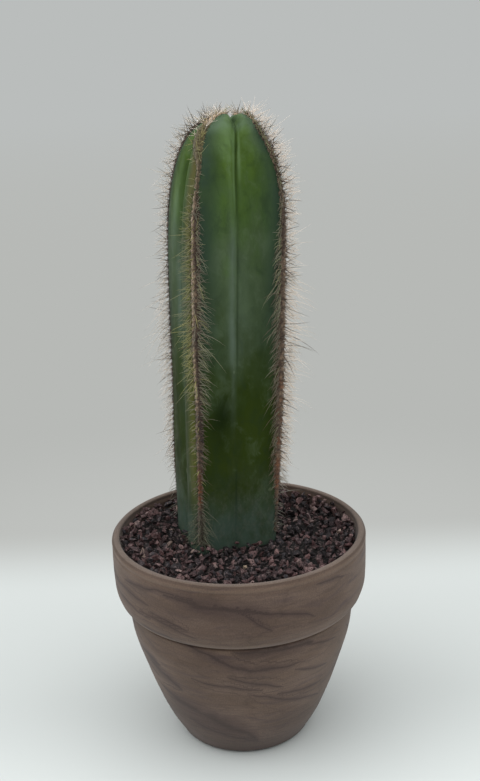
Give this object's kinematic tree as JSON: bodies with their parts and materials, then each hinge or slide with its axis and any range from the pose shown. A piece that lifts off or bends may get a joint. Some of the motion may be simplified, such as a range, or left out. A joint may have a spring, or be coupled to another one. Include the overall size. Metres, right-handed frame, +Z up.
{
  "type": "potted columnar cactus",
  "caption": "Young upright ribbed cactus with rows of spines on its crests, standing in a banded clay pot filled with soil and dressed with crushed lava.",
  "frame": {"origin": "centre of the pot's flat underside, on the surface that the pot stands on", "axes": "+Z up along the pot's axis, -Y towards the viewer of the picture, +X to that viewer's right"},
  "size_m": [0.15, 0.15, 0.3756],
  "materials": {
    "clay": "unglazed marbled brown clay, matt, with dark streaks",
    "soil": "dark crumbly potting soil",
    "lava": "crushed red-brown and charcoal lava grains, rough",
    "cactus_skin": "waxy green skin, satin, with a pale bloom along the valleys",
    "spines": "straw-coloured to brown needles on tan felt"
  },
  "bodies": {
    "root": {"pot": "clay", "potting_soil": "soil", "lava_gravel": "lava", "stem": "cactus_skin", "areoles_1": "spines", "areoles_2": "spines", "areoles_3": "spines", "areoles_4": "spines"}
  },
  "joints": []
}
